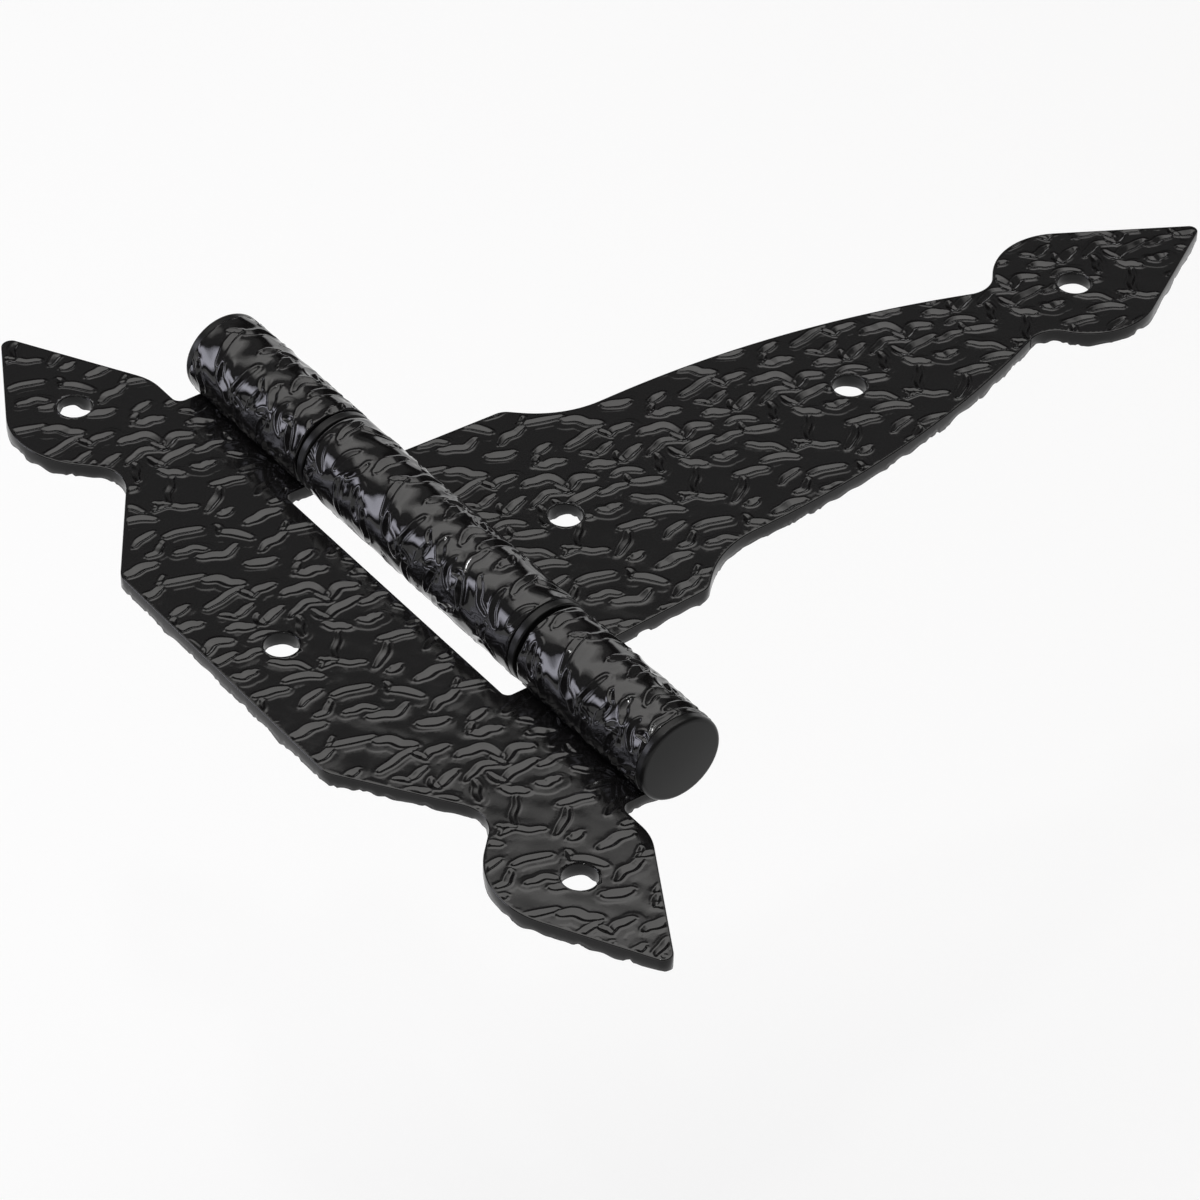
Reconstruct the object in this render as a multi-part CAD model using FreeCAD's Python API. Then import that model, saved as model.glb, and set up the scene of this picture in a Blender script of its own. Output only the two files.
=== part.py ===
import FreeCAD, Part
import math
import os

# A T hinge: a tall cross leaf with spear-shaped ends, a tapered strap leaf with a spear
# tip, and a thick three-knuckle barrel rolled from the two leaves round one pin.
#
# Frame: the backs of both leaves lie in the plane z = 0 and +Z points away from the wood.
# The pin's axis runs along Y, one barrel radius above the origin. +X runs along the strap.
# The hinge is drawn open and flat. All sizes are in millimetres.

# Sheet and barrel
SHEET = 3.1                                # coated thickness of both leaves
PIN_DIAMETER = 12.7
RUNNING_CLEARANCE = 0.05                   # radial, between the pin and what turns on it
BARREL_LENGTH = 152.4                      # over the two outer knuckles
KNUCKLE_GAP = 76.2                         # between the two outer knuckles
MIDDLE_KNUCKLE = 69.6                      # length of the strap's own knuckle
ROLL_PAST_LEVEL = math.radians(41.0)       # how far a roll runs on, below the pin's height

# Washers and end caps
WASHER = 2.1
PLASTIC_RADIUS = 9.4
WASHER_EDGE = 0.4
TOP_WASHER_GAP = 0.6                       # from the top washer to the middle knuckle
CAP_HEIGHT = 2.35                          # from the barrel's end to the middle of the crown
CAP_CROWN = 0.4                            # how far the middle stands above the rim
CAP_EDGE = 0.9                             # rounding of the rim
CAP_SPIGOT = 6.5
SPIGOT_CLEARANCE = 0.02
PIN_END_GAP = 0.5
PIN_CHAMFER = 1.0

# Screw holes
HOLE_RADIUS = 3.6
TIP_HOLE_X = -30.8
TIP_HOLE_Y = 87.4
CENTRE_HOLE_X = -38.6
STRAP_HOLE_X = (30.7, 104.6, 166.5)

# The slot in the cross leaf that clears the middle knuckle
SLOT_X = -11.9
SLOT_CORNER = 1.5

# The cross leaf's upper half as corners (x, y, corner radius). The lower half mirrors it.
CROSS_CORNERS = (
    (-53.0, 35.8, 5.6),                    # end of the straight outer edge
    (-33.4, 63.5, 7.2),                    # bottom of the neck
    (-50.9, 80.9, 18.1),                   # outer shoulder of the spear
    (-30.6, 116.7, 2.1),                   # point of the spear
    (-12.8, 86.1, 11.9),                   # inner shoulder of the spear
    (-12.8, BARREL_LENGTH / 2, 1.9),       # notch beside the barrel's end
    (0.0, BARREL_LENGTH / 2, 0.0),
)

# The strap leaf's upper half, from the barrel to the tip
STRAP_STEP_X = 10.6                        # where the strap narrows to its knuckle
STRAP_CORNERS = (
    (0.0, MIDDLE_KNUCKLE / 2, 0.0),
    (STRAP_STEP_X, MIDDLE_KNUCKLE / 2, 0.5),
    (STRAP_STEP_X, 36.4, 0.9),
    (40.3, 35.1, 4.2),                     # end of the wide base
    (49.9, 26.3, 23.7),                    # inside of the step down to the blade
    (105.9, 25.4, 241.0),                  # long bend of the blade
    (150.7, 8.1, 7.0),                     # neck behind the spear
    (162.9, 23.3, 16.2),                   # shoulder of the spear
)
STRAP_TIP = (203.2, 0.0, 1.7)

BORE_RADIUS = PIN_DIAMETER / 2 + RUNNING_CLEARANCE
BARREL_RADIUS = BORE_RADIUS + SHEET
AXIS_HEIGHT = BARREL_RADIUS
HALF_BARREL = BARREL_LENGTH / 2
HALF_GAP = KNUCKLE_GAP / 2
HALF_MIDDLE = MIDDLE_KNUCKLE / 2
ALONG_Y = FreeCAD.Vector(0, 1, 0)


def mirrored_loop(corners, middle=()):
    """The closed outline made of these corners, the ones on the X axis, and their mirror."""
    lower = [(x, -y, radius) for x, y, radius in reversed(corners)]
    return list(corners) + list(middle) + lower


def rounded_wire(loop):
    """A closed wire at z = 0 through a loop of corners, each rounded to its own radius."""
    points = [FreeCAD.Vector(x, y, 0) for x, y, radius in loop]
    runs = []
    for index, corner in enumerate(points):
        radius = loop[index][2]
        back = (points[index - 1] - corner).normalize()
        ahead = (points[(index + 1) % len(points)] - corner).normalize()
        half_angle = back.getAngle(ahead) / 2
        reach = radius / math.tan(half_angle)
        start = corner + back * reach
        end = corner + ahead * reach
        bisector = (back + ahead).normalize()
        middle = corner + bisector * (radius / math.sin(half_angle) - radius)
        runs.append((start, middle, end, radius))
    edges = []
    for index, (start, middle, end, radius) in enumerate(runs):
        if radius > 0:
            edges.append(Part.Arc(start, middle, end).toShape())
        following = runs[(index + 1) % len(runs)][0]
        edges.append(Part.LineSegment(end, following).toShape())
    return Part.Wire(edges)


def plate(loop):
    """A flat piece of the sheet with this outline, its back at z = 0."""
    return Part.Face(rounded_wire(loop)).extrude(FreeCAD.Vector(0, 0, SHEET))


def screw_hole(x, y):
    """A plain round hole through the sheet."""
    return Part.makeCylinder(HOLE_RADIUS, 3 * SHEET, FreeCAD.Vector(x, y, -SHEET))


def on_circle(radius, angle, side, y):
    """A point round the pin's axis. The angle starts below the pin and climbs on one side."""
    x = side * radius * math.sin(angle)
    return FreeCAD.Vector(x, y, AXIS_HEIGHT - radius * math.cos(angle))


def knuckle(y_start, y_end, side):
    """A roll of the sheet that climbs on the side +1 or -1 and comes down on the other."""
    turn = 1.5 * math.pi + ROLL_PAST_LEVEL
    outer = [on_circle(BARREL_RADIUS, turn * part, side, y_start) for part in (0, 0.5, 1)]
    inner = [on_circle(BORE_RADIUS, turn * part, side, y_start) for part in (0, 0.5, 1)]
    edges = [
        Part.Arc(*outer).toShape(),
        Part.LineSegment(outer[-1], inner[-1]).toShape(),
        Part.Arc(*reversed(inner)).toShape(),
        Part.LineSegment(inner[0], outer[0]).toShape(),
    ]
    section = Part.Face(Part.Wire(edges))
    return section.extrude(ALONG_Y * (y_end - y_start))


def cross_leaf():
    """The tall leaf on the post, one sheet with a slot and two outer knuckles."""
    loop = mirrored_loop(CROSS_CORNERS)
    leaf = plate(loop)
    slot = [(SLOT_X, HALF_GAP, SLOT_CORNER), (SLOT_X, -HALF_GAP, SLOT_CORNER)]
    slot += [(BARREL_RADIUS, -HALF_GAP, 0.0), (BARREL_RADIUS, HALF_GAP, 0.0)]
    leaf = leaf.cut(plate(slot))
    for x, y in ((TIP_HOLE_X, TIP_HOLE_Y), (TIP_HOLE_X, -TIP_HOLE_Y), (CENTRE_HOLE_X, 0.0)):
        leaf = leaf.cut(screw_hole(x, y))
    for start, end in ((-HALF_BARREL, -HALF_GAP), (HALF_GAP, HALF_BARREL)):
        leaf = leaf.fuse(knuckle(start, end, 1))
    return leaf.removeSplitter()


def strap_leaf():
    """The tapered leaf on the gate, one sheet with the middle knuckle."""
    leaf = plate(mirrored_loop(STRAP_CORNERS, [STRAP_TIP]))
    for x in STRAP_HOLE_X:
        leaf = leaf.cut(screw_hole(x, 0.0))
    leaf = leaf.fuse(knuckle(-HALF_MIDDLE, HALF_MIDDLE, -1))
    return leaf.removeSplitter()


def barrel_round(radius, y_start, y_end):
    """A plain cylinder on the pin's axis."""
    base = FreeCAD.Vector(0, y_start, AXIS_HEIGHT)
    return Part.makeCylinder(radius, y_end - y_start, base, ALONG_Y)


def hinge_pin():
    """The pin, chamfered at both ends, between the spigots of the two caps."""
    half_length = HALF_BARREL - CAP_SPIGOT - PIN_END_GAP
    pin = barrel_round(PIN_DIAMETER / 2, -half_length, half_length)
    rims = [edge for edge in pin.Edges if isinstance(edge.Curve, Part.Circle)]
    return pin.makeChamfer(PIN_CHAMFER, rims)


def thrust_washer(y_start):
    """A plain washer that keeps two knuckles apart, its outer edges rounded."""
    ring = barrel_round(PLASTIC_RADIUS, y_start, y_start + WASHER)
    rims = [edge for edge in ring.Edges if isinstance(edge.Curve, Part.Circle)]
    ring = ring.makeFillet(WASHER_EDGE, rims)
    return ring.cut(barrel_round(BORE_RADIUS, y_start - WASHER, y_start + 2 * WASHER))


def end_cap(side):
    """A crowned cap with a rounded rim, and the spigot that holds it in the bore."""
    crown_radius = (PLASTIC_RADIUS**2 + CAP_CROWN**2) / (2 * CAP_CROWN)
    top = side * (HALF_BARREL + CAP_HEIGHT)
    crown_centre = FreeCAD.Vector(0, top - side * crown_radius, AXIS_HEIGHT)
    disc = barrel_round(PLASTIC_RADIUS, *sorted((side * HALF_BARREL, top)))
    disc = disc.common(Part.makeSphere(crown_radius, crown_centre))
    circles = [edge for edge in disc.Edges if isinstance(edge.Curve, Part.Circle)]
    rim = max(circles, key=lambda edge: side * edge.CenterOfMass.y)
    disc = disc.makeFillet(CAP_EDGE, [rim])
    ends = sorted((side * HALF_BARREL, side * (HALF_BARREL - CAP_SPIGOT)))
    return disc.fuse(barrel_round(BORE_RADIUS - SPIGOT_CLEARANCE, *ends)).removeSplitter()


def main():
    os.makedirs("parts", exist_ok=True)
    pieces = {
        "cross_leaf": cross_leaf(),
        "strap_leaf": strap_leaf(),
        "hinge_pin": hinge_pin(),
        "washer_bottom": thrust_washer(-HALF_MIDDLE - WASHER),
        "washer_top": thrust_washer(HALF_MIDDLE + TOP_WASHER_GAP),
        "end_cap_bottom": end_cap(-1),
        "end_cap_top": end_cap(1),
    }
    for name, piece in pieces.items():
        solid = piece.Solids[0]
        print(name, len(piece.Solids), "solid,", round(solid.Volume, 1), "mm3, valid", solid.isValid())
        solid.exportStep(os.path.join("parts", name + ".step"))


main()
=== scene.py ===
import math

import bpy
import numpy as np
from mathutils import Matrix, Vector
from mathutils.geometry import delaunay_2d_cdt
from mathutils.kdtree import KDTree

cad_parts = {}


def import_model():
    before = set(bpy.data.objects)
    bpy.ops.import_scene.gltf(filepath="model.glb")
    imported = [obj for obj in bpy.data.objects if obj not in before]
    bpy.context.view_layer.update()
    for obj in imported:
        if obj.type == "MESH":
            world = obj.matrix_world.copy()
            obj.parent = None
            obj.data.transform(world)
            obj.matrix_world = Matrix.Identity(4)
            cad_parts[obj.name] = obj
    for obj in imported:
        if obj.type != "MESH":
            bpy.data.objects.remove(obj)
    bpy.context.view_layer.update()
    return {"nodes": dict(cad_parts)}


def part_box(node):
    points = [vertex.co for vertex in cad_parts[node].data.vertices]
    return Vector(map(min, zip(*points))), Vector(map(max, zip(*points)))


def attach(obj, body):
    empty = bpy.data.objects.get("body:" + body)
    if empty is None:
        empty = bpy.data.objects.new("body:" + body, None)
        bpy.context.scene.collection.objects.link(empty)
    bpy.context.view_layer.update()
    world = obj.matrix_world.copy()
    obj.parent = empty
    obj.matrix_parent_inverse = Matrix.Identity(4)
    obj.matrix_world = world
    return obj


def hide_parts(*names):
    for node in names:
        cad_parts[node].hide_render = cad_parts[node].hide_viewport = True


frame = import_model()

# A black hammered T hinge. Each leaf is one embossed sheet, so each is built flat and then
# rolled: the outline and the relief live in sheet coordinates (along, across), and bend()
# puts them in the row frame. Sheet work is in millimetres, and finished meshes in metres.
MM = 0.001

# ---------------------------------------------------------------- sizes shared with the CAD
SHEET = 3.1
BARREL_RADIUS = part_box("cross_leaf")[1].z / 2 / MM
HALF_BARREL = 76.2
HALF_GAP = 38.1
HALF_MIDDLE = 34.8
PAST_LEVEL = math.radians(41.0)            # how far each roll runs past three quarters round
ROLL_LENGTH = BARREL_RADIUS * (1.5 * math.pi + PAST_LEVEL)
HOLE_RADIUS = 3.6
CROSS_HOLES = ((-30.8, 87.4), (-30.8, -87.4), (-38.6, 0.0))
STRAP_HOLES = ((30.7, 0.0), (104.6, 0.0), (166.5, 0.0))

# Half outlines as corners (x, y, corner radius). The other half mirrors them.
CROSS_HALF = (
    (-53.0, 35.8, 5.6),
    (-33.4, 63.5, 7.2),
    (-50.9, 80.9, 18.1),
    (-30.6, 116.7, 2.1),
    (-12.8, 86.1, 11.9),
    (-12.8, HALF_BARREL, 1.9),
    (ROLL_LENGTH, HALF_BARREL, 0.8),
    (ROLL_LENGTH, HALF_GAP, 0.8),
    (-11.9, HALF_GAP, 1.5),
)
STRAP_HALF = (
    (-ROLL_LENGTH, HALF_MIDDLE, 0.8),
    (10.6, HALF_MIDDLE, 0.5),
    (10.6, 36.4, 0.9),
    (40.3, 35.1, 4.2),
    (49.9, 26.3, 23.7),
    (105.9, 25.4, 241.0),
    (150.7, 8.1, 7.0),
    (162.9, 23.3, 16.2),
)
STRAP_TIP = (203.2, 0.0, 1.7)

# ---------------------------------------------------------------- mesh settings
OUTLINE_STEP = 0.35
FINE_STEP = 0.21                           # where the relief bends
COARSE_STEP = 0.66                         # where it is flat
HIDDEN_STEP = 2.4                          # inside a knuckle
ROW_GAP = 0.87                             # between the rows of a grid, in steps
FINE_GAP = 0.6 * FINE_STEP                 # the least gap that each grid keeps to the others
COARSE_GAP = 0.45 * COARSE_STEP
HIDDEN_GAP = 1.0
EDGE_GAP = 0.15                            # and the least that any point keeps to a rim
SAME_POINT = 1e-6
TOP_ROUNDING = 0.28                        # the rolled-over edge on the face side
BACK_ROUNDING = 0.15
HOLE_ROUNDING = 0.2
ROUNDING_RINGS = 3
WALL_RINGS = 2
ROLL_MARGIN = 1.0                          # faces change this far to either side of the roll's start

# ---------------------------------------------------------------- relief settings
PRINT_SEED = 7
TILE = (29.6, 59.2)                        # the embossing roll repeats after this
TILE_CELL = 0.1
BEND_REACH = 2                             # in cells
BEND_LIMIT = 0.012                         # more bend than this needs the fine grid
MARK_TRIES = 4000
MARK_SPACING = (7.0, 4.5)
MARK_HEADING = (-16.0, 34.0)               # the mean and the spread, in degrees
MARK_BOW = 0.13                            # its spread, in lengths
MARK_WAVE = 0.05
STROKE_POINTS = 15
MARK_ENDS = 0.1                            # the share of its taper that each end of a mark lacks
MARK_TAPER = 0.4
MARK_END_DEPTH = 0.55
MARK_LENGTH = (1.5, 6.0, 10.5)             # least, most often, and most
MARK_HALF_WIDTH = (0.65, 1.15)
MARK_DEPTH = 0.32
GENTLE_WALL = 1.35                         # a mark's far wall, in half widths
STEEP_WALL = 0.6                           # and its near wall
LIP_HEIGHT = 0.075                         # the burr pushed up all round a mark
LIP_WIDTH = 0.24
HOOKED = 0.25                              # share of marks with a second arm at one end
HOOK_LENGTH = (2.0, 3.5)
HOOK_TURN = (55.0, 125.0)
HOOK_BOW = 0.1
HOOK_WIDTH = 0.8                           # beside its mark's
PAD_HEIGHT = 0.045
PAD_EDGE = 0.28
PAD_HALF_WIDTH = (1.6, 2.5)
PAD_SHIFT = 1.0
PAD_LIFT = (0.4, 1.0)
PATCH_MARGIN = 2.5                         # clear of a mark and its pad on every side
WAVES = 14
WAVES_ACROSS = (1, 6)
WAVES_ALONG = (-10, 11)
WAVES_HEIGHT = 3.7                         # about what so many unit waves reach together
UNDULATION = 0.02
FACE_FADE = (0.3, 1.2)                     # the print fades out over this towards a face's rim
BACK_GAIN = 1.6                            # the back face took a deeper print than the front
BACK_UNDULATION = 0.1
BACK_SHIFT = (11.0, 17.0)                  # and the two faces' prints aren't in step
RIM_DRAG = 0.4                             # it is deeper still beside its sheared rim
RIM_FADE = (0.2, 2.0)
RIM_UNDULATION = 0.2


def smooth(value, low, high):
    """0 below low, 1 above high, and an even S between them."""
    share = np.clip((value - low) / (high - low), 0.0, 1.0)
    return share * share * (3.0 - 2.0 * share)


# ---------------------------------------------------------------- outlines
def mirrored_loop(half, middle=()):
    return list(half) + list(middle) + [(x, -y, radius) for x, y, radius in reversed(half)]


def outline(loop, step):
    """Points and outward normals about a step apart round a loop of rounded corners."""
    corners = np.array([corner[:2] for corner in loop])
    count = len(loop)
    arcs = []
    for index, corner in enumerate(corners):
        back = corners[index - 1] - corner
        ahead = corners[(index + 1) % count] - corner
        back /= np.linalg.norm(back)
        ahead /= np.linalg.norm(ahead)
        half_angle = math.acos(np.clip(back @ ahead, -1.0, 1.0)) / 2
        radius = loop[index][2]
        reach = radius / math.tan(half_angle)
        middle = back + ahead
        middle /= np.linalg.norm(middle)
        centre = corner + middle * radius / math.sin(half_angle)
        start, end = corner + back * reach, corner + ahead * reach
        turn = math.pi - 2 * half_angle
        pieces = max(2, math.ceil(radius * turn / step))
        first = start - centre
        sign = np.sign(back[1] * ahead[0] - back[0] * ahead[1])
        arc = []
        for share in np.linspace(0.0, 1.0, pieces + 1):
            angle = sign * turn * share
            spin = np.array([[math.cos(angle), -math.sin(angle)], [math.sin(angle), math.cos(angle)]])
            arc.append(centre + spin @ first)
        arcs.append(arc)
    points = []
    for index, arc in enumerate(arcs):
        points += arc
        start, end = arc[-1], arcs[(index + 1) % count][0]
        pieces = math.ceil(np.linalg.norm(end - start) / step)
        points += [start + (end - start) * k / pieces for k in range(1, pieces)]
    return with_normals(np.array(points))


def circle(x, y, radius, step):
    count = math.ceil(2 * math.pi * radius / step)
    angle = np.arange(count) * 2 * math.pi / count
    return with_normals(np.c_[x + radius * np.cos(angle), y + radius * np.sin(angle)])


def with_normals(points):
    """A counter-clockwise loop of points, and the unit normal that points out of it."""
    ahead = np.roll(points, -1, 0)
    area = (points[:, 0] * ahead[:, 1] - ahead[:, 0] * points[:, 1]).sum()
    if area < 0:
        points = points[::-1]
    along = np.roll(points, -1, 0) - np.roll(points, 1, 0)
    along /= np.linalg.norm(along, axis=1)[:, None]
    return points, np.c_[along[:, 1], -along[:, 0]]


def inside(points, loop):
    """Which points lie inside a closed loop, by counting crossings."""
    found = np.zeros(len(points), bool)
    x, y = points[:, 0], points[:, 1]
    for (x1, y1), (x2, y2) in zip(loop, np.roll(loop, -1, 0)):
        if y1 == y2:
            continue
        span = (y1 > y) != (y2 > y)
        found[span] ^= x[span] < (x2 - x1) * (y[span] - y1) / (y2 - y1) + x1
    return found


# ---------------------------------------------------------------- relief
def stroke(centre, heading, length, bow, wave):
    """A short curved line through a centre, and the unit vector to its left."""
    t = np.linspace(-0.5, 0.5, STROKE_POINTS)
    along = length * t
    aside = length * (bow * (4 * t * t - 0.5) + wave * np.sin(3 * math.pi * t))
    ahead = np.array([math.cos(heading), math.sin(heading)])
    left = np.array([-ahead[1], ahead[0]])
    return centre + along[:, None] * ahead + aside[:, None] * left, left


def mark_lines(rng):
    """The hammer marks on one tile, spread so that none crowd.

    Each is its centre line, half width, and its pad's half width, sideways shift and lift.
    """
    lines = []
    centres = np.zeros((0, 2))
    tile, spacing = np.array(TILE), np.array(MARK_SPACING)
    for attempt in range(MARK_TRIES):
        centre = rng.random(2) * tile
        gap = np.abs(centres - centre)
        gap = np.minimum(gap, tile - gap) / spacing
        if len(centres) and (gap**2).sum(1).min() < 1.0:
            continue
        centres = np.vstack([centres, centre])
        length = rng.triangular(*MARK_LENGTH)
        heading = math.radians(rng.normal(*MARK_HEADING))
        bow = rng.normal(0.0, MARK_BOW)
        wave = rng.uniform(-MARK_WAVE, MARK_WAVE)
        points, left = stroke(centre, heading, length, bow, wave)
        half_width = rng.uniform(*MARK_HALF_WIDTH)
        pad_width = rng.uniform(*PAD_HALF_WIDTH)
        shift = left * rng.uniform(-PAD_SHIFT, PAD_SHIFT)
        lift = rng.uniform(*PAD_LIFT)
        lines.append((points, half_width, pad_width, shift, lift))
        if rng.random() < HOOKED:
            arm = rng.uniform(*HOOK_LENGTH)
            turned = heading + math.radians(rng.uniform(*HOOK_TURN))
            middle = points[0] + arm / 2 * np.array([math.cos(turned), math.sin(turned)])
            points, left = stroke(middle, turned, arm, rng.normal(0.0, HOOK_BOW), 0.0)
            lines.append((points, HOOK_WIDTH * half_width, HOOK_WIDTH * pad_width, shift, lift))
    return lines


def relief_tile(seed):
    """The embossing on one tile: raised pads and sunken marks in mm, and slow waves."""
    rng = np.random.default_rng(seed)
    size = [int(round(length / TILE_CELL)) for length in TILE]
    pads = np.zeros(size)
    cuts = np.zeros(size)
    lips = np.zeros(size)
    for points, half_width, pad_width, shift, lift in mark_lines(rng):
        reach = pad_width + PATCH_MARGIN
        low = np.floor((points.min(0) - reach) / TILE_CELL).astype(int)
        high = np.ceil((points.max(0) + reach) / TILE_CELL).astype(int)
        patch = [np.arange(low[axis], high[axis]) for axis in (0, 1)]
        place = np.stack(np.meshgrid(*patch, indexing="ij"), -1) * TILE_CELL
        nearest = np.full(place.shape[:2], np.inf)
        share = np.zeros(place.shape[:2])
        gentle = np.zeros(place.shape[:2], bool)
        pad_gap = np.full(place.shape[:2], np.inf)
        count = len(points) - 1
        for index in range(count):
            start, run = points[index], points[index + 1] - points[index]
            t = np.clip(((place - start) @ run) / (run @ run), 0.0, 1.0)
            apart = place - start - t[..., None] * run
            gap = np.linalg.norm(apart, axis=-1)
            closer = gap < nearest
            share[closer] = (index + t[closer]) / count
            gentle[closer] = (run[0] * apart[..., 1] - run[1] * apart[..., 0])[closer] > 0
            nearest = np.minimum(nearest, gap)
            pad_gap = np.minimum(pad_gap, np.linalg.norm(apart - shift, axis=-1))
        kept = MARK_ENDS + (1.0 - 2.0 * MARK_ENDS) * share
        swell = np.clip(np.sin(math.pi * kept), 0.0, 1.0) ** MARK_TAPER
        width = half_width * swell * np.where(gentle, GENTLE_WALL, STEEP_WALL)
        fullness = MARK_END_DEPTH + (1.0 - MARK_END_DEPTH) * swell
        depth = MARK_DEPTH * fullness * half_width / MARK_HALF_WIDTH[1]
        cut = depth * np.clip(1.0 - nearest / width, 0.0, 1.0)
        pad = lift * (1.0 - smooth(pad_gap, pad_width - PAD_EDGE, pad_width + PAD_EDGE))
        lip = LIP_HEIGHT * np.exp(-(((nearest - width) / LIP_WIDTH - 1.0) ** 2))
        cells = np.ix_(patch[0] % size[0], patch[1] % size[1])
        lips[cells] = np.maximum(lips[cells], lip)
        cuts[cells] = np.maximum(cuts[cells], cut)
        pads[cells] = np.maximum(pads[cells], pad)
    return PAD_HEIGHT * (pads - 0.5) + lips - cuts, swells(rng, size)


def swells(rng, size):
    """Slow, even waves of random heading that repeat with the tile, about +-1 in all."""
    x, y = np.meshgrid(*[np.arange(count) / count for count in size], indexing="ij")
    total = np.zeros(size)
    for wave in range(WAVES):
        across, along = rng.integers(*WAVES_ACROSS), rng.integers(*WAVES_ALONG)
        total += np.cos(2 * math.pi * (across * x + along * y + rng.random()))
    return total / WAVES_HEIGHT


def softened(tile):
    """The tile with its sharpest edges eased over one cell."""
    for axis in (0, 1):
        tile = 0.5 * tile + 0.25 * (np.roll(tile, 1, axis) + np.roll(tile, -1, axis))
    return tile


def sampled(tile, points):
    """Heights of the repeating tile at these sheet points, interpolated."""
    place = points / TILE_CELL
    low = np.floor(place).astype(int)
    part = place - low
    rows, columns = tile.shape
    total = 0.0
    for i in (0, 1):
        for j in (0, 1):
            weight = np.abs(1 - i - part[:, 0]) * np.abs(1 - j - part[:, 1])
            total = total + weight * tile[(low[:, 0] + i) % rows, (low[:, 1] + j) % columns]
    return total


def detail_of(tile):
    """Which cells lie where the tile bends enough to need the fine grid, or close beside."""
    turn = np.zeros_like(tile)
    for axis in (0, 1):
        sides = np.roll(tile, BEND_REACH, axis) + np.roll(tile, -BEND_REACH, axis)
        turn += np.abs(sides - 2 * tile)
    busy = turn > BEND_LIMIT
    wide = busy.copy()
    for axis in (0, 1):
        for reach in range(-BEND_REACH, BEND_REACH + 1):
            wide |= np.roll(busy, reach, axis)
    return wide


# ---------------------------------------------------------------- sheets
def bend(points, rise, side):
    """Sheet points, rise above the back plane, rolled round the pin on the side +1 or -1."""
    along = side * points[:, 0]
    angle = np.maximum(along, 0.0) / BARREL_RADIUS
    radius = BARREL_RADIUS - rise
    x = np.minimum(along, 0.0) + radius * np.sin(angle)
    z = BARREL_RADIUS - radius * np.cos(angle)
    return np.c_[side * x, points[:, 1], z] * MM


def grid(low, high, step):
    """A grid of staggered rows, so that the triangles come out even."""
    rows = np.arange(low[1], high[1], step * ROW_GAP)
    row_points = []
    for index, y in enumerate(rows):
        x = np.arange(low[0] + (index % 2) * step / 2, high[0], step)
        row_points.append(np.c_[x, np.full(len(x), y)])
    return np.vstack(row_points)


def face_points(loops, side, detail, fine_from, hidden_from):
    """Points that fill a face: fine where its relief bends, and coarse elsewhere.

    Fine ones start at fine_from along the sheet, towards its roll. From hidden_from on the
    face is hidden, and takes only a few.
    """
    outer = loops[0]
    low, high = outer.min(0), outer.max(0)
    fine = grid(low, high, FINE_STEP)
    cell = (fine / TILE_CELL).round().astype(int)
    rows, columns = detail.shape
    bent = detail[cell[:, 0] % rows, cell[:, 1] % columns]
    along = side * fine[:, 0]
    fine = fine[bent & (along > fine_from) & (along <= hidden_from)]
    coarse = grid(low, high, COARSE_STEP)
    coarse = coarse[side * coarse[:, 0] <= hidden_from]
    unseen = grid(low, high, HIDDEN_STEP)
    unseen = unseen[side * unseen[:, 0] > hidden_from]
    rim = tree_of(np.vstack(loops))
    placed = np.zeros((0, 2))
    for points, gap in ((fine, FINE_GAP), (coarse, COARSE_GAP), (unseen, HIDDEN_GAP)):
        points = points[inside(points, outer)]
        for hole in loops[1:]:
            points = points[~inside(points, hole)]
        points = points[distances(rim, points) > max(gap, EDGE_GAP)]
        if len(placed):
            points = points[distances(tree_of(placed), points) > gap]
        placed = np.vstack([placed, points])
    return placed


def tree_of(points):
    tree = KDTree(len(points))
    for index, (x, y) in enumerate(points):
        tree.insert(Vector((x, y, 0)), index)
    tree.balance()
    return tree


def distances(tree, points):
    """How far each point is from the nearest one in a tree."""
    return np.array([tree.find(Vector((x, y, 0)))[2] for x, y in points])


def fill(loops, points):
    """Triangles over a face: its loops are edges, its points lie inside, its holes are open."""
    everything = np.vstack(loops + [points])
    edges = []
    first = 0
    for loop in loops:
        count = len(loop)
        edges += [(first + k, first + (k + 1) % count) for k in range(count)]
        first += count
    found = delaunay_2d_cdt([Vector(point) for point in everything], edges, [], 0, SAME_POINT)
    placed = np.array([tuple(v) for v in found[0]])
    if len(placed) != len(everything):
        raise ValueError("the outline crosses itself")
    triangles = np.array(found[2])
    middle = placed[triangles].mean(1)
    good = inside(middle, loops[0])
    for hole in loops[1:]:
        good &= ~inside(middle, hole)
    return everything, triangles[good]


def rim_rings(points, normal, rounding, low_rise):
    """A rim's rings of points and their rises, from just under the face to the back's edge."""
    rings = []
    for angle in np.linspace(0.0, math.pi / 2, ROUNDING_RINGS + 1)[1:]:
        rise = SHEET - rounding * (1 - math.cos(angle))
        ring = points - normal * rounding * (1 - math.sin(angle))
        rings.append((ring, np.full(len(points), rise)))
    for share in np.linspace(0.0, 1.0, WALL_RINGS + 1)[1:]:
        rise = (SHEET - rounding) * (1 - share) + (low_rise + BACK_ROUNDING) * share
        rings.append((points, rise))
    return rings


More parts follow.
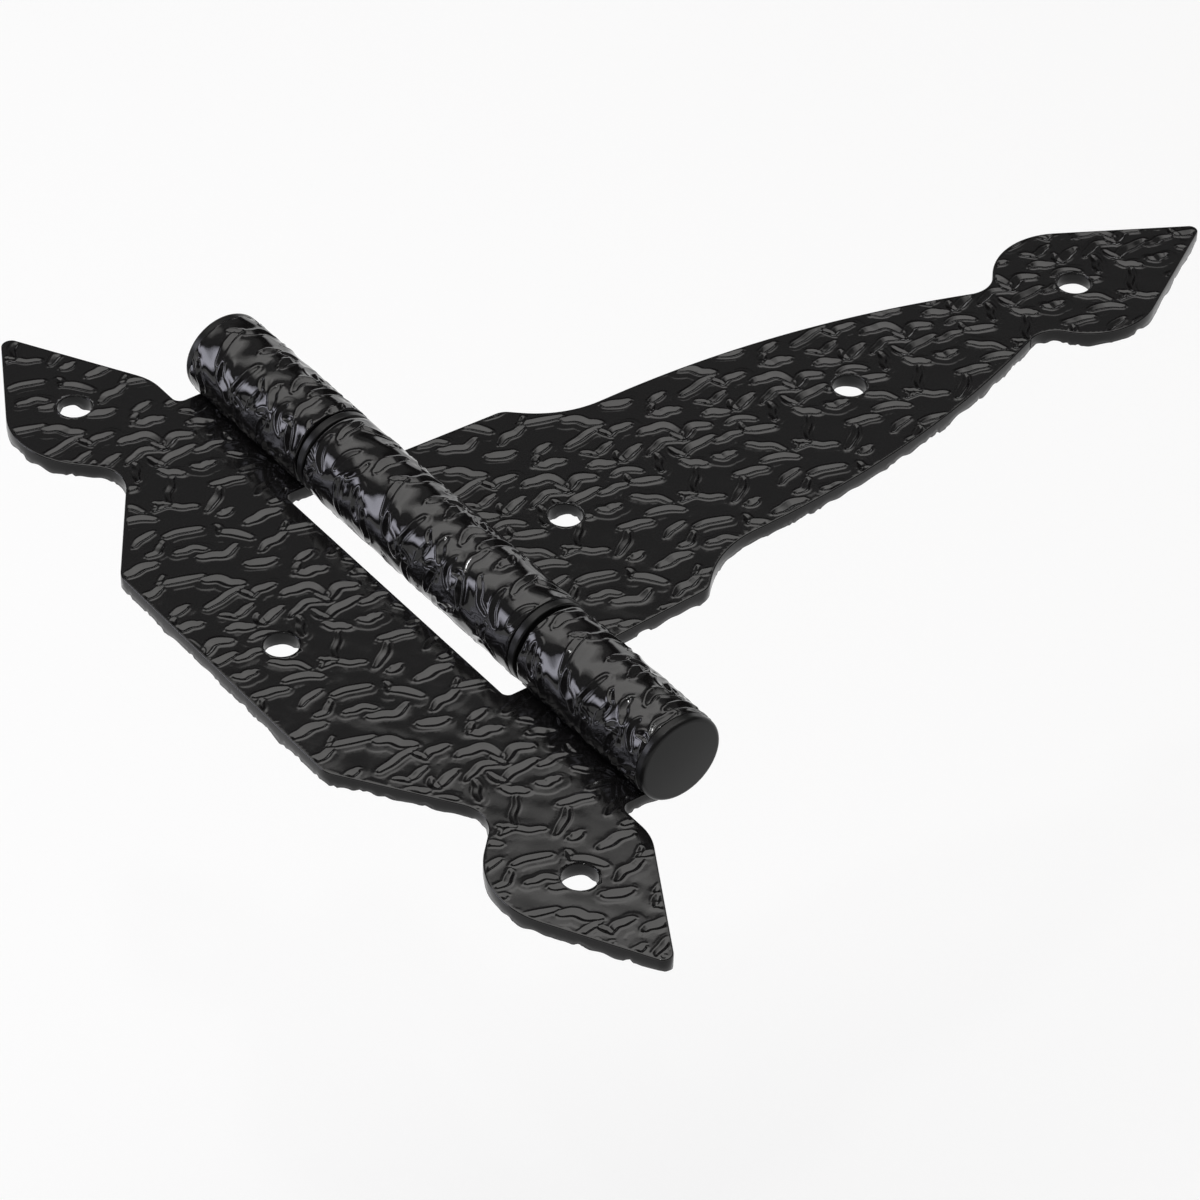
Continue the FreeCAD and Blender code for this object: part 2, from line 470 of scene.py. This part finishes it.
def sheet_mesh(name, loop, holes, side, relief):
    """One embossed and rolled leaf, as a closed mesh with rounded rims.

    Its roll is on the side +1 or -1. The faces have material 0 and the sheared rims have 1.
    """
    prints, waves = relief
    front = prints + UNDULATION * waves
    behind = BACK_GAIN * prints + BACK_UNDULATION * waves
    rims = [(*outline(loop, OUTLINE_STEP), TOP_ROUNDING)]
    for x, y in holes:
        ring, outward = circle(x, y, HOLE_RADIUS, OUTLINE_STEP)
        rims.append((ring, -outward, HOLE_ROUNDING))
    rim_tree = tree_of(np.vstack([points for points, normal, rounding in rims]))

    def front_rise(points):
        return SHEET + sampled(front, points) * smooth(distances(rim_tree, points), *FACE_FADE)

    def back_rise(points):
        at_rim = 1.0 - smooth(distances(rim_tree, points), *RIM_FADE)
        at_rim = at_rim * (side * points[:, 0] < -ROLL_MARGIN)
        place = points + np.array(BACK_SHIFT)
        drag = (1.0 + RIM_DRAG * at_rim) * sampled(behind, place)
        return -(drag + RIM_UNDULATION * at_rim * sampled(waves, place))

    detail = detail_of(prints)
    back_detail = np.roll(detail, [-round(shift / TILE_CELL) for shift in BACK_SHIFT], (0, 1))
    face_loops = [points - normal * rounding for points, normal, rounding in rims]
    back_loops = [points - normal * BACK_ROUNDING for points, normal, rounding in rims]
    face_fill = face_points(face_loops, side, detail, -math.inf, ROLL_MARGIN)
    back_fill = face_points(back_loops, side, back_detail, -ROLL_MARGIN, math.inf)
    face, face_triangles = fill(face_loops, face_fill)
    back, back_triangles = fill(back_loops, back_fill)

    vertices = [bend(face, front_rise(face), side), bend(back, back_rise(back), side)]
    polygons = face_triangles.tolist() + (back_triangles[:, ::-1] + len(face)).tolist()
    finishes = [0] * len(polygons)
    face_first, back_first = 0, len(face)
    total = len(face) + len(back)
    for points, normal, rounding in rims:
        count = len(points)
        around = np.arange(count)
        rings = [face_first + around]
        for ring, rise in rim_rings(points, normal, rounding, back_rise(points)):
            vertices.append(bend(ring, rise, side))
            rings.append(total + around)
            total += count
        rings.append(back_first + around)
        for step, (upper, lower) in enumerate(zip(rings, rings[1:])):
            quads = np.c_[upper, lower, np.roll(lower, -1), np.roll(upper, -1)]
            polygons += quads.tolist()
            finishes += [int(step >= ROUNDING_RINGS)] * count
        face_first += count
        back_first += count

    mesh = bpy.data.meshes.new(name)
    mesh.from_pydata(np.vstack(vertices).tolist(), [], polygons)
    mesh.polygons.foreach_set("use_smooth", [True] * len(polygons))
    mesh.polygons.foreach_set("material_index", finishes)
    mesh.validate()
    return mesh


# ---------------------------------------------------------------- materials
COAT_BLACK = (0.007, 0.0066, 0.0068)
PLASTIC_BLACK = (0.008, 0.008, 0.008)
STEEL_GREY = (0.5, 0.5, 0.51)


def material(name, colour, roughness):
    made = bpy.data.materials.new(name)
    made.use_nodes = True
    shader = made.node_tree.nodes["Principled BSDF"]
    shader.inputs["Base Color"].default_value = (*colour, 1.0)
    shader.inputs["Roughness"].default_value = roughness
    return made, made.node_tree, shader


def noise(tree, scale, detail):
    where = tree.nodes.new("ShaderNodeTexCoord")
    made = tree.nodes.new("ShaderNodeTexNoise")
    made.inputs["Scale"].default_value = scale
    made.inputs["Detail"].default_value = detail
    tree.links.new(where.outputs["Object"], made.inputs["Vector"])
    return made.outputs["Fac"]


def ranged(tree, value, low, high):
    made = tree.nodes.new("ShaderNodeMapRange")
    made.inputs["To Min"].default_value = low
    made.inputs["To Max"].default_value = high
    tree.links.new(value, made.inputs["Value"])
    return made.outputs["Result"]


def bumped(tree, shader, value, depth):
    made = tree.nodes.new("ShaderNodeBump")
    made.inputs["Distance"].default_value = depth
    tree.links.new(value, made.inputs["Height"])
    tree.links.new(made.outputs["Normal"], shader.inputs["Normal"])


def finish(name, colour, roughness, patches, shine=0.5, metal=0.0, grain=None, depth=0.0):
    """A material whose roughness varies in soft patches, and which may have a fine grain.

    Patches and grain are a noise's scale and detail, and the grain's depth is in metres.
    """
    made, tree, shader = material(name, colour, roughness[0])
    shader.inputs["Specular IOR Level"].default_value = shine
    shader.inputs["Metallic"].default_value = metal
    tree.links.new(ranged(tree, noise(tree, *patches), *roughness), shader.inputs["Roughness"])
    if grain:
        bumped(tree, shader, noise(tree, *grain), depth)
    return made


# ---------------------------------------------------------------- camera, light and floor
CAMERA_TARGET = Vector((0.02264, -0.02252, 0.0))
CAMERA_DISTANCE = 1.0413
CAMERA_AZIMUTH = math.radians(-37.87)
CAMERA_ELEVATION = math.radians(40.08)
CAMERA_ROLL = math.radians(1.54)
CAMERA_LENS = 156.78
SENSOR_WIDTH = 36.0
CLIP_START = 0.05

# Each softbox is its name, place, size, the width of its faded edge, radiance and colour.
SOFTBOXES = (
    ("top_box", (0.1, 0.35, 1.2), (1.7, 1.3), 0.3, 2.4, (1.0, 0.985, 0.965)),
    ("left_box", (-1.0, 0.8, 0.42), (0.8, 0.5), 0.2, 7.0, (0.88, 0.88, 1.0)),
    ("spark", (-0.3, -0.15, 1.1), (0.07, 0.07), 0.0, 60.0, (1.0, 1.0, 1.0)),
)
SOFTBOX_LAYERS = 3
SOFTBOX_STAGGER = 0.01                     # keeps nested lights from hiding each other

# The studio's walls, by direction. Each fade is over a range of a unit direction's part.
WHITE = (1.0, 1.0, 1.0, 1.0)
HORIZON = 1.3
HORIZON_FADE = (0.12, 0.24)
DARK_SIDE = (-0.77, 0.61, 0.0)
DARK_SIDE_FADE = (0.6, 0.85)
SKY = 0.18
SKY_FADE = (0.42, 0.6)

FLOOR_HALF = 8.0
FLOOR_HEIGHT = -0.215                      # low enough for the strap to swing straight down
FLOOR_COLOUR = (0.25, 0.25, 0.25)
FLOOR_ROUGHNESS = 0.9
FLOOR_GLOW = 0.76


def camera():
    across = Vector((math.cos(CAMERA_AZIMUTH), math.sin(CAMERA_AZIMUTH), 0.0))
    ahead = Vector((
        -math.sin(CAMERA_AZIMUTH) * math.cos(CAMERA_ELEVATION),
        math.cos(CAMERA_AZIMUTH) * math.cos(CAMERA_ELEVATION),
        -math.sin(CAMERA_ELEVATION),
    ))
    up = across.cross(ahead)
    turned = Matrix.Rotation(-CAMERA_ROLL, 3, ahead)
    across, up = turned @ across, turned @ up
    made = bpy.data.objects.new("camera", bpy.data.cameras.new("camera"))
    made.data.lens = CAMERA_LENS
    made.data.sensor_width = SENSOR_WIDTH
    made.data.clip_start = CLIP_START
    place = CAMERA_TARGET - ahead * CAMERA_DISTANCE
    axes = Matrix((across, up, -ahead)).transposed().to_4x4()
    made.matrix_world = Matrix.Translation(place) @ axes
    bpy.context.scene.collection.objects.link(made)
    bpy.context.scene.camera = made


def softbox(name, place, size, fade, radiance, colour):
    """A lit panel whose edge fades in steps, made of nested lights."""
    for layer in range(SOFTBOX_LAYERS):
        light = bpy.data.lights.new(name, "AREA")
        light.shape = "RECTANGLE"
        inset = 2 * layer * fade / SOFTBOX_LAYERS
        light.size, light.size_y = size[0] - inset, size[1] - inset
        light.energy = radiance / SOFTBOX_LAYERS * math.pi * light.size * light.size_y
        light.color = colour
        made = bpy.data.objects.new(name, light)
        towards = -Vector(place).normalized()
        made.location = Vector(place) + towards * layer * SOFTBOX_STAGGER
        made.rotation_euler = towards.to_track_quat("-Z", "Y").to_euler()
        bpy.context.scene.collection.objects.link(made)


def world():
    """A dark studio: white low down except on its dark side, then black, and grey overhead."""
    made = bpy.data.worlds.new("studio")
    made.use_nodes = True
    tree = made.node_tree
    back = tree.nodes["Background"]
    back.inputs["Color"].default_value = WHITE
    where = tree.nodes.new("ShaderNodeTexCoord")
    split = tree.nodes.new("ShaderNodeSeparateXYZ")
    facing = tree.nodes.new("ShaderNodeVectorMath")
    facing.operation = "DOT_PRODUCT"
    facing.inputs[1].default_value = DARK_SIDE
    tree.links.new(where.outputs["Generated"], split.inputs["Vector"])
    tree.links.new(where.outputs["Generated"], facing.inputs[0])
    horizon = eased(tree, split.outputs["Z"], HORIZON_FADE, (HORIZON, 0.0))
    open_side = eased(tree, facing.outputs["Value"], DARK_SIDE_FADE, (1.0, 0.0))
    sky = eased(tree, split.outputs["Z"], SKY_FADE, (0.0, SKY))
    lit = tree.nodes.new("ShaderNodeMath")
    lit.operation = "MULTIPLY_ADD"
    tree.links.new(horizon, lit.inputs[0])
    tree.links.new(open_side, lit.inputs[1])
    tree.links.new(sky, lit.inputs[2])
    tree.links.new(lit.outputs["Value"], back.inputs["Strength"])
    bpy.context.scene.world = made


def eased(tree, value, over, to):
    """A node that carries a value smoothly from one range to another."""
    made = tree.nodes.new("ShaderNodeMapRange")
    made.interpolation_type = "SMOOTHSTEP"
    made.inputs["From Min"].default_value, made.inputs["From Max"].default_value = over
    made.inputs["To Min"].default_value, made.inputs["To Max"].default_value = to
    tree.links.new(value, made.inputs["Value"])
    return made.outputs["Result"]


def floor():
    mesh = bpy.data.meshes.new("floor")
    corners = [(x * FLOOR_HALF, y * FLOOR_HALF, 0) for x, y in ((-1, -1), (1, -1), (1, 1), (-1, 1))]
    mesh.from_pydata(corners, [], [(0, 1, 2, 3)])
    made = bpy.data.objects.new("floor", mesh)
    made.location.z = FLOOR_HEIGHT
    bpy.context.scene.collection.objects.link(made)
    stuff, tree, shader = material("pale_floor", FLOOR_COLOUR, FLOOR_ROUGHNESS)
    shader.inputs["Emission Color"].default_value = WHITE
    shader.inputs["Emission Strength"].default_value = FLOOR_GLOW
    mesh.materials.append(stuff)


camera()
floor()
world()
for box in SOFTBOXES:
    softbox(*box)
bpy.context.scene.view_settings.view_transform = "Standard"

prints, waves = relief_tile(PRINT_SEED)
relief = (softened(prints), waves)
coat = finish(
    "black_powder_coat", COAT_BLACK, roughness=(0.07, 0.13), patches=(160.0, 3.0),
    shine=0.42, grain=(700.0, 2.0), depth=0.000006,
)
thin_coat = finish(
    "black_powder_coat_on_sheared_rim", COAT_BLACK, roughness=(0.16, 0.26), patches=(160.0, 3.0),
    shine=0.24, grain=(700.0, 2.0), depth=0.000006,
)
leaves = (
    ("cross_leaf", "cross", mirrored_loop(CROSS_HALF), CROSS_HOLES, 1),
    ("strap_leaf", "strap", mirrored_loop(STRAP_HALF, [STRAP_TIP]), STRAP_HOLES, -1),
)
for node, body, loop, holes, side in leaves:
    name = node + "_sheet"
    piece = bpy.data.objects.new(name, sheet_mesh(name, loop, holes, side, relief))
    bpy.context.scene.collection.objects.link(piece)
    piece.data.materials.append(coat)
    piece.data.materials.append(thin_coat)
    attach(piece, body)
    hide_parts(node)

plastic = finish(
    "black_moulded_plastic", PLASTIC_BLACK, roughness=(0.26, 0.34), patches=(400.0, 3.0),
    shine=0.2, grain=(2500.0, 2.0), depth=0.000004,
)
for node in ("washer_bottom", "washer_top", "end_cap_bottom", "end_cap_top"):
    for entry in frame["nodes"][node].material_slots:
        entry.material = plastic
steel = finish("drawn_steel", STEEL_GREY, roughness=(0.22, 0.4), patches=(300.0, 4.0), metal=1.0)
for entry in frame["nodes"]["hinge_pin"].material_slots:
    entry.material = steel
